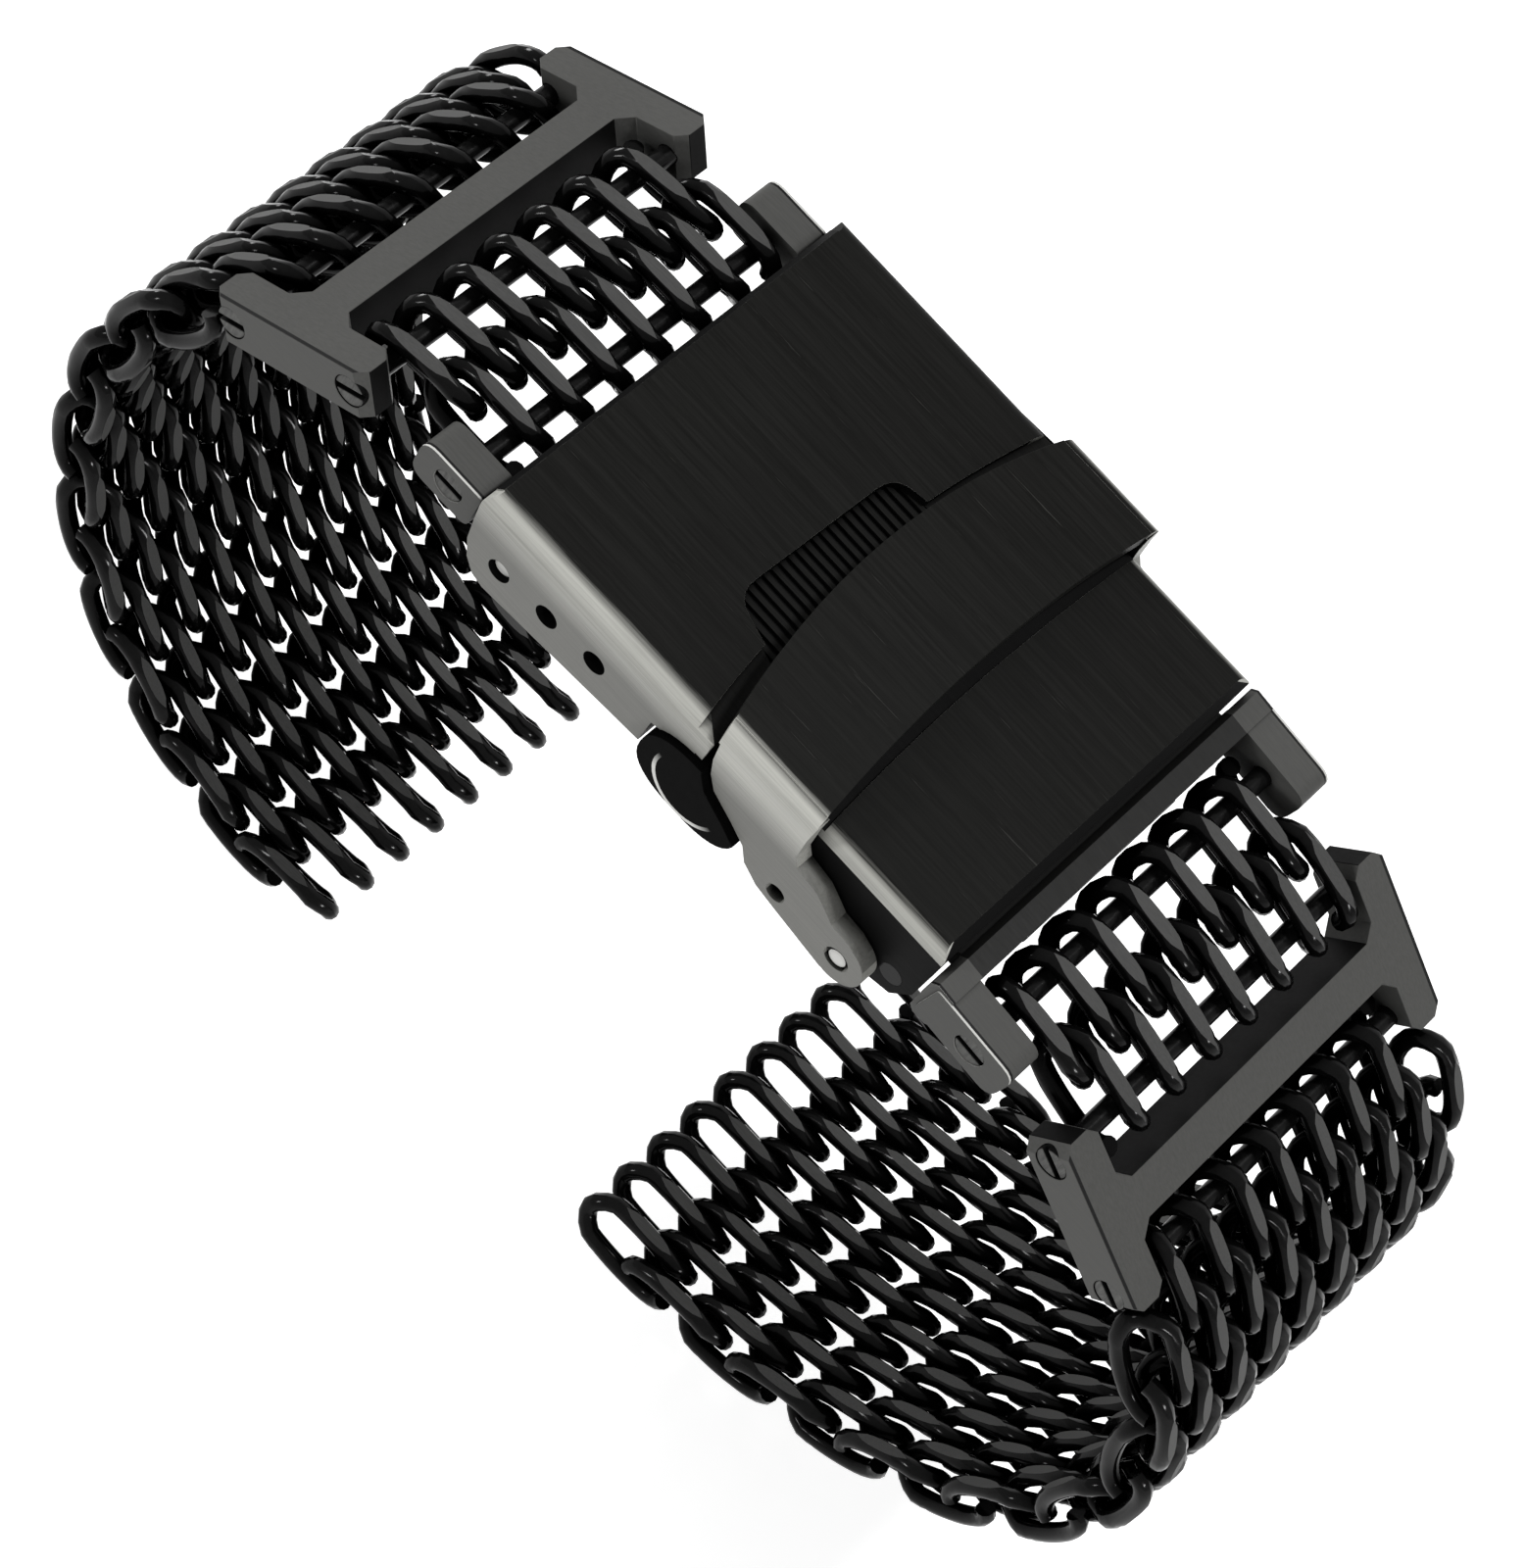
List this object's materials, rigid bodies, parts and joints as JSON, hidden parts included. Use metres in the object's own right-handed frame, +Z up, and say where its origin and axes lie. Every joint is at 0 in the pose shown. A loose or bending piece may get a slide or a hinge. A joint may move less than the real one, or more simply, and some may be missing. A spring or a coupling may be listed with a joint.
{
  "type": "mesh bracelet with fold-over clasp",
  "caption": "Black steel mesh bracelet of interlinked wire rows, with slotted link bars, a folding clasp with a safety flap and side push buttons.",
  "frame": {"origin": "middle spring-bar hole of the clasp's cover, at half the width", "axes": "+X along the clasp from the spring-bar holes towards the folding end, +Y across the band, +Z up out of the clasp's top face"},
  "size_m": [0.0712, 0.0236, 0.0463],
  "materials": {
    "mesh_black": "black coated wire, ground flat on both faces",
    "clasp_black": "black coated steel, brushed along the clasp",
    "link_grey": "dark satin",
    "pin_steel": "polished",
    "spring_steel": "bright wire"
  },
  "bodies": {
    "clasp": {"clasp_cover": "clasp_black", "flap_pivot_pins": "pin_steel", "catch_guide": "link_grey", "button_spring_near": "spring_steel", "button_spring_far": "spring_steel", "cover_hinge_pins": "pin_steel", "spring_bar": "pin_steel"},
    "flap": {"safety_flap": "clasp_black"},
    "button_near": {"push_button_near": "clasp_black"},
    "button_far": {"push_button_far": "clasp_black"},
    "outer_blade": {"outer_blade": "link_grey", "fold_hinge_pin": "pin_steel"},
    "inner_blade": {"inner_blade": "link_grey"},
    "end_link_a": {"end_link_a": "link_grey", "end_pin_a": "pin_steel"},
    "end_link_b": {"end_link_b": "link_grey", "strap_pin_b": "pin_steel", "end_pin_b": "pin_steel"},
    "short_a1": {"short_row_a1": "mesh_black"},
    "short_a2": {"short_row_a2": "mesh_black"},
    "short_b1": {"short_row_b1": "mesh_black"},
    "short_b2": {"short_row_b2": "mesh_black"},
    "h_link_a": {"h_link_a": "link_grey", "h_link_pins_a": "pin_steel"},
    "h_link_b": {"h_link_b": "link_grey", "h_link_pins_b": "pin_steel"},
    "band_a_01": {"band_a_row_01": "mesh_black"},
    "band_a_02": {"band_a_row_02": "mesh_black"},
    "band_a_03": {"band_a_row_03": "mesh_black"},
    "band_a_04": {"band_a_row_04": "mesh_black"},
    "band_a_05": {"band_a_row_05": "mesh_black"},
    "band_a_06": {"band_a_row_06": "mesh_black"},
    "band_a_07": {"band_a_row_07": "mesh_black"},
    "band_a_08": {"band_a_row_08": "mesh_black"},
    "band_a_09": {"band_a_row_09": "mesh_black"},
    "band_a_10": {"band_a_row_10": "mesh_black"},
    "band_a_11": {"band_a_row_11": "mesh_black"},
    "band_a_12": {"band_a_row_12": "mesh_black"},
    "band_a_13": {"band_a_row_13": "mesh_black"},
    "band_a_14": {"band_a_row_14": "mesh_black"},
    "band_a_15": {"band_a_row_15": "mesh_black"},
    "band_a_16": {"band_a_row_16": "mesh_black"},
    "band_b_01": {"band_b_row_01": "mesh_black"},
    "band_b_02": {"band_b_row_02": "mesh_black"},
    "band_b_03": {"band_b_row_03": "mesh_black"},
    "band_b_04": {"band_b_row_04": "mesh_black"},
    "band_b_05": {"band_b_row_05": "mesh_black"},
    "band_b_06": {"band_b_row_06": "mesh_black"},
    "band_b_07": {"band_b_row_07": "mesh_black"},
    "band_b_08": {"band_b_row_08": "mesh_black"},
    "band_b_09": {"band_b_row_09": "mesh_black"},
    "band_b_10": {"band_b_row_10": "mesh_black"},
    "band_b_11": {"band_b_row_11": "mesh_black"},
    "band_b_12": {"band_b_row_12": "mesh_black"},
    "band_b_13": {"band_b_row_13": "mesh_black"},
    "band_b_14": {"band_b_row_14": "mesh_black"},
    "band_b_15": {"band_b_row_15": "mesh_black"}
  },
  "joints": [
    {"name": "flap_hinge", "type": "hinge", "parent": "clasp", "child": "flap", "pos_m": [0.0186, 0, -0.0018], "axis": [0, 1, 0], "range_deg": [0, 85]},
    {"name": "button_near_slide", "type": "slide", "parent": "clasp", "child": "button_near", "axis": [0, 1, 0], "range_m": [0, 0.0005], "stiffness_N_per_m": 100, "springref_m": -0.001},
    {"name": "button_far_slide", "type": "slide", "parent": "clasp", "child": "button_far", "axis": [0, -1, 0], "range_m": [0, 0.0005], "stiffness_N_per_m": 100, "springref_m": -0.001},
    {"name": "fold_open", "type": "hinge", "parent": "clasp", "child": "outer_blade", "pos_m": [0.0206, 0, -0.0012], "axis": [0, -1, 0], "range_deg": [0, 150]},
    {"name": "blade_unfold", "type": "hinge", "parent": "outer_blade", "child": "inner_blade", "pos_m": [0.0062, 0, -0.0012], "axis": [0, -1, 0], "range_deg": [-150, 0]},
    {"name": "end_link_a_hinge", "type": "hinge", "parent": "clasp", "child": "end_link_a", "pos_m": [-0.0028, 0, -0.0003], "axis": [0, 1, 0], "range_deg": [-15, 4]},
    {"name": "short_a1_hinge", "type": "hinge", "parent": "end_link_a", "child": "short_a1", "pos_m": [-0.0068, 0, 0.00055], "axis": [0, 1, 0], "range_deg": [-8, 8]},
    {"name": "short_a2_hinge", "type": "hinge", "parent": "short_a1", "child": "short_a2", "pos_m": [-0.00977, 0, 0.00045], "axis": [0, 1, 0], "range_deg": [-8, 8]},
    {"name": "h_link_a_hinge", "type": "hinge", "parent": "short_a2", "child": "h_link_a", "pos_m": [-0.01269, 0, -0.00012], "axis": [0, 1, 0], "range_deg": [-8, 8]},
    {"name": "end_link_b_hinge", "type": "hinge", "parent": "inner_blade", "child": "end_link_b", "pos_m": [0.0225, 0, -0.0002], "axis": [0, 1, 0], "range_deg": [-4, 15]},
    {"name": "short_b1_hinge", "type": "hinge", "parent": "end_link_b", "child": "short_b1", "pos_m": [0.02515, 0, 0.00025], "axis": [0, 1, 0], "range_deg": [-8, 8]},
    {"name": "short_b2_hinge", "type": "hinge", "parent": "short_b1", "child": "short_b2", "pos_m": [0.02809, 0, -0.00022], "axis": [0, 1, 0], "range_deg": [-8, 8]},
    {"name": "h_link_b_hinge", "type": "hinge", "parent": "short_b2", "child": "h_link_b", "pos_m": [0.0309, 0, -0.00118], "axis": [0, 1, 0], "range_deg": [-8, 8]},
    {"name": "band_a_01_hinge", "type": "hinge", "parent": "h_link_a", "child": "band_a_01", "pos_m": [-0.0189, 0, -0.00356], "axis": [0, 1, 0], "range_deg": [-1.5, 4]},
    {"name": "band_a_02_hinge", "type": "hinge", "parent": "band_a_01", "child": "band_a_02", "pos_m": [-0.02067, 0, -0.00583], "axis": [0, 1, 0], "range_deg": [-1.5, 4]},
    {"name": "band_a_03_hinge", "type": "hinge", "parent": "band_a_02", "child": "band_a_03", "pos_m": [-0.02218, 0, -0.0086], "axis": [0, 1, 0], "range_deg": [-1.5, 4]},
    {"name": "band_a_04_hinge", "type": "hinge", "parent": "band_a_03", "child": "band_a_04", "pos_m": [-0.02324, 0, -0.01156], "axis": [0, 1, 0], "range_deg": [-1.5, 4]},
    {"name": "band_a_05_hinge", "type": "hinge", "parent": "band_a_04", "child": "band_a_05", "pos_m": [-0.02386, 0, -0.01465], "axis": [0, 1, 0], "range_deg": [-1.5, 4]},
    {"name": "band_a_06_hinge", "type": "hinge", "parent": "band_a_05", "child": "band_a_06", "pos_m": [-0.02406, 0, -0.01779], "axis": [0, 1, 0], "range_deg": [-1.5, 4]},
    {"name": "band_a_07_hinge", "type": "hinge", "parent": "band_a_06", "child": "band_a_07", "pos_m": [-0.02384, 0, -0.02094], "axis": [0, 1, 0], "range_deg": [-1.5, 4]},
    {"name": "band_a_08_hinge", "type": "hinge", "parent": "band_a_07", "child": "band_a_08", "pos_m": [-0.02321, 0, -0.02402], "axis": [0, 1, 0], "range_deg": [-1.5, 4]},
    {"name": "band_a_09_hinge", "type": "hinge", "parent": "band_a_08", "child": "band_a_09", "pos_m": [-0.02218, 0, -0.027], "axis": [0, 1, 0], "range_deg": [-1.5, 4]},
    {"name": "band_a_10_hinge", "type": "hinge", "parent": "band_a_09", "child": "band_a_10", "pos_m": [-0.02076, 0, -0.02981], "axis": [0, 1, 0], "range_deg": [-1.5, 4]},
    {"name": "band_a_11_hinge", "type": "hinge", "parent": "band_a_10", "child": "band_a_11", "pos_m": [-0.01897, 0, -0.0324], "axis": [0, 1, 0], "range_deg": [-1.5, 4]},
    {"name": "band_a_12_hinge", "type": "hinge", "parent": "band_a_11", "child": "band_a_12", "pos_m": [-0.01681, 0, -0.0347], "axis": [0, 1, 0], "range_deg": [-1.5, 4]},
    {"name": "band_a_13_hinge", "type": "hinge", "parent": "band_a_12", "child": "band_a_13", "pos_m": [-0.01431, 0, -0.03662], "axis": [0, 1, 0], "range_deg": [-1.5, 4]},
    {"name": "band_a_14_hinge", "type": "hinge", "parent": "band_a_13", "child": "band_a_14", "pos_m": [-0.01153, 0, -0.03809], "axis": [0, 1, 0], "range_deg": [-1.5, 4]},
    {"name": "band_a_15_hinge", "type": "hinge", "parent": "band_a_14", "child": "band_a_15", "pos_m": [-0.00851, 0, -0.03901], "axis": [0, 1, 0], "range_deg": [-1.5, 4]},
    {"name": "band_a_16_hinge", "type": "hinge", "parent": "band_a_15", "child": "band_a_16", "pos_m": [-0.00538, 0, -0.0393], "axis": [0, 1, 0], "range_deg": [-1.5, 4]},
    {"name": "band_b_01_hinge", "type": "hinge", "parent": "h_link_b", "child": "band_b_01", "pos_m": [0.03672, 0, -0.00526], "axis": [0, 1, 0], "range_deg": [-4, 1.5]},
    {"name": "band_b_02_hinge", "type": "hinge", "parent": "band_b_01", "child": "band_b_02", "pos_m": [0.03915, 0, -0.00709], "axis": [0, 1, 0], "range_deg": [-4, 1.5]},
    {"name": "band_b_03_hinge", "type": "hinge", "parent": "band_b_02", "child": "band_b_03", "pos_m": [0.04138, 0, -0.00979], "axis": [0, 1, 0], "range_deg": [-4, 1.5]},
    {"name": "band_b_04_hinge", "type": "hinge", "parent": "band_b_03", "child": "band_b_04", "pos_m": [0.04295, 0, -0.01292], "axis": [0, 1, 0], "range_deg": [-4, 1.5]},
    {"name": "band_b_05_hinge", "type": "hinge", "parent": "band_b_04", "child": "band_b_05", "pos_m": [0.04382, 0, -0.01631], "axis": [0, 1, 0], "range_deg": [-4, 1.5]},
    {"name": "band_b_06_hinge", "type": "hinge", "parent": "band_b_05", "child": "band_b_06", "pos_m": [0.044, 0, -0.01981], "axis": [0, 1, 0], "range_deg": [-4, 1.5]},
    {"name": "band_b_07_hinge", "type": "hinge", "parent": "band_b_06", "child": "band_b_07", "pos_m": [0.04349, 0, -0.02327], "axis": [0, 1, 0], "range_deg": [-4, 1.5]},
    {"name": "band_b_08_hinge", "type": "hinge", "parent": "band_b_07", "child": "band_b_08", "pos_m": [0.04236, 0, -0.02658], "axis": [0, 1, 0], "range_deg": [-4, 1.5]},
    {"name": "band_b_09_hinge", "type": "hinge", "parent": "band_b_08", "child": "band_b_09", "pos_m": [0.04067, 0, -0.02964], "axis": [0, 1, 0], "range_deg": [-4, 1.5]},
    {"name": "band_b_10_hinge", "type": "hinge", "parent": "band_b_09", "child": "band_b_10", "pos_m": [0.03848, 0, -0.03238], "axis": [0, 1, 0], "range_deg": [-4, 1.5]},
    {"name": "band_b_11_hinge", "type": "hinge", "parent": "band_b_10", "child": "band_b_11", "pos_m": [0.03588, 0, -0.03472], "axis": [0, 1, 0], "range_deg": [-4, 1.5]},
    {"name": "band_b_12_hinge", "type": "hinge", "parent": "band_b_11", "child": "band_b_12", "pos_m": [0.03295, 0, -0.03663], "axis": [0, 1, 0], "range_deg": [-4, 1.5]},
    {"name": "band_b_13_hinge", "type": "hinge", "parent": "band_b_12", "child": "band_b_13", "pos_m": [0.02976, 0, -0.03808], "axis": [0, 1, 0], "range_deg": [-4, 1.5]},
    {"name": "band_b_14_hinge", "type": "hinge", "parent": "band_b_13", "child": "band_b_14", "pos_m": [0.0264, 0, -0.03904], "axis": [0, 1, 0], "range_deg": [-4, 1.5]},
    {"name": "band_b_15_hinge", "type": "hinge", "parent": "band_b_14", "child": "band_b_15", "pos_m": [0.02293, 0, -0.03952], "axis": [0, 1, 0], "range_deg": [-4, 1.5]}
  ],
  "couplings": [
    {"joint": "blade_unfold", "follows": "fold_open", "ratio": -1},
    {"joint": "band_a_02_hinge", "follows": "band_a_01_hinge", "ratio": 1},
    {"joint": "band_a_03_hinge", "follows": "band_a_01_hinge", "ratio": 1},
    {"joint": "band_a_04_hinge", "follows": "band_a_01_hinge", "ratio": 1},
    {"joint": "band_a_05_hinge", "follows": "band_a_01_hinge", "ratio": 1},
    {"joint": "band_a_06_hinge", "follows": "band_a_01_hinge", "ratio": 1},
    {"joint": "band_a_07_hinge", "follows": "band_a_01_hinge", "ratio": 1},
    {"joint": "band_a_08_hinge", "follows": "band_a_01_hinge", "ratio": 1},
    {"joint": "band_a_09_hinge", "follows": "band_a_01_hinge", "ratio": 1},
    {"joint": "band_a_10_hinge", "follows": "band_a_01_hinge", "ratio": 1},
    {"joint": "band_a_11_hinge", "follows": "band_a_01_hinge", "ratio": 1},
    {"joint": "band_a_12_hinge", "follows": "band_a_01_hinge", "ratio": 1},
    {"joint": "band_a_13_hinge", "follows": "band_a_01_hinge", "ratio": 1},
    {"joint": "band_a_14_hinge", "follows": "band_a_01_hinge", "ratio": 1},
    {"joint": "band_a_15_hinge", "follows": "band_a_01_hinge", "ratio": 1},
    {"joint": "band_a_16_hinge", "follows": "band_a_01_hinge", "ratio": 1},
    {"joint": "band_b_02_hinge", "follows": "band_b_01_hinge", "ratio": 1},
    {"joint": "band_b_03_hinge", "follows": "band_b_01_hinge", "ratio": 1},
    {"joint": "band_b_04_hinge", "follows": "band_b_01_hinge", "ratio": 1},
    {"joint": "band_b_05_hinge", "follows": "band_b_01_hinge", "ratio": 1},
    {"joint": "band_b_06_hinge", "follows": "band_b_01_hinge", "ratio": 1},
    {"joint": "band_b_07_hinge", "follows": "band_b_01_hinge", "ratio": 1},
    {"joint": "band_b_08_hinge", "follows": "band_b_01_hinge", "ratio": 1},
    {"joint": "band_b_09_hinge", "follows": "band_b_01_hinge", "ratio": 1},
    {"joint": "band_b_10_hinge", "follows": "band_b_01_hinge", "ratio": 1},
    {"joint": "band_b_11_hinge", "follows": "band_b_01_hinge", "ratio": 1},
    {"joint": "band_b_12_hinge", "follows": "band_b_01_hinge", "ratio": 1},
    {"joint": "band_b_13_hinge", "follows": "band_b_01_hinge", "ratio": 1},
    {"joint": "band_b_14_hinge", "follows": "band_b_01_hinge", "ratio": 1},
    {"joint": "band_b_15_hinge", "follows": "band_b_01_hinge", "ratio": 1}
  ]
}
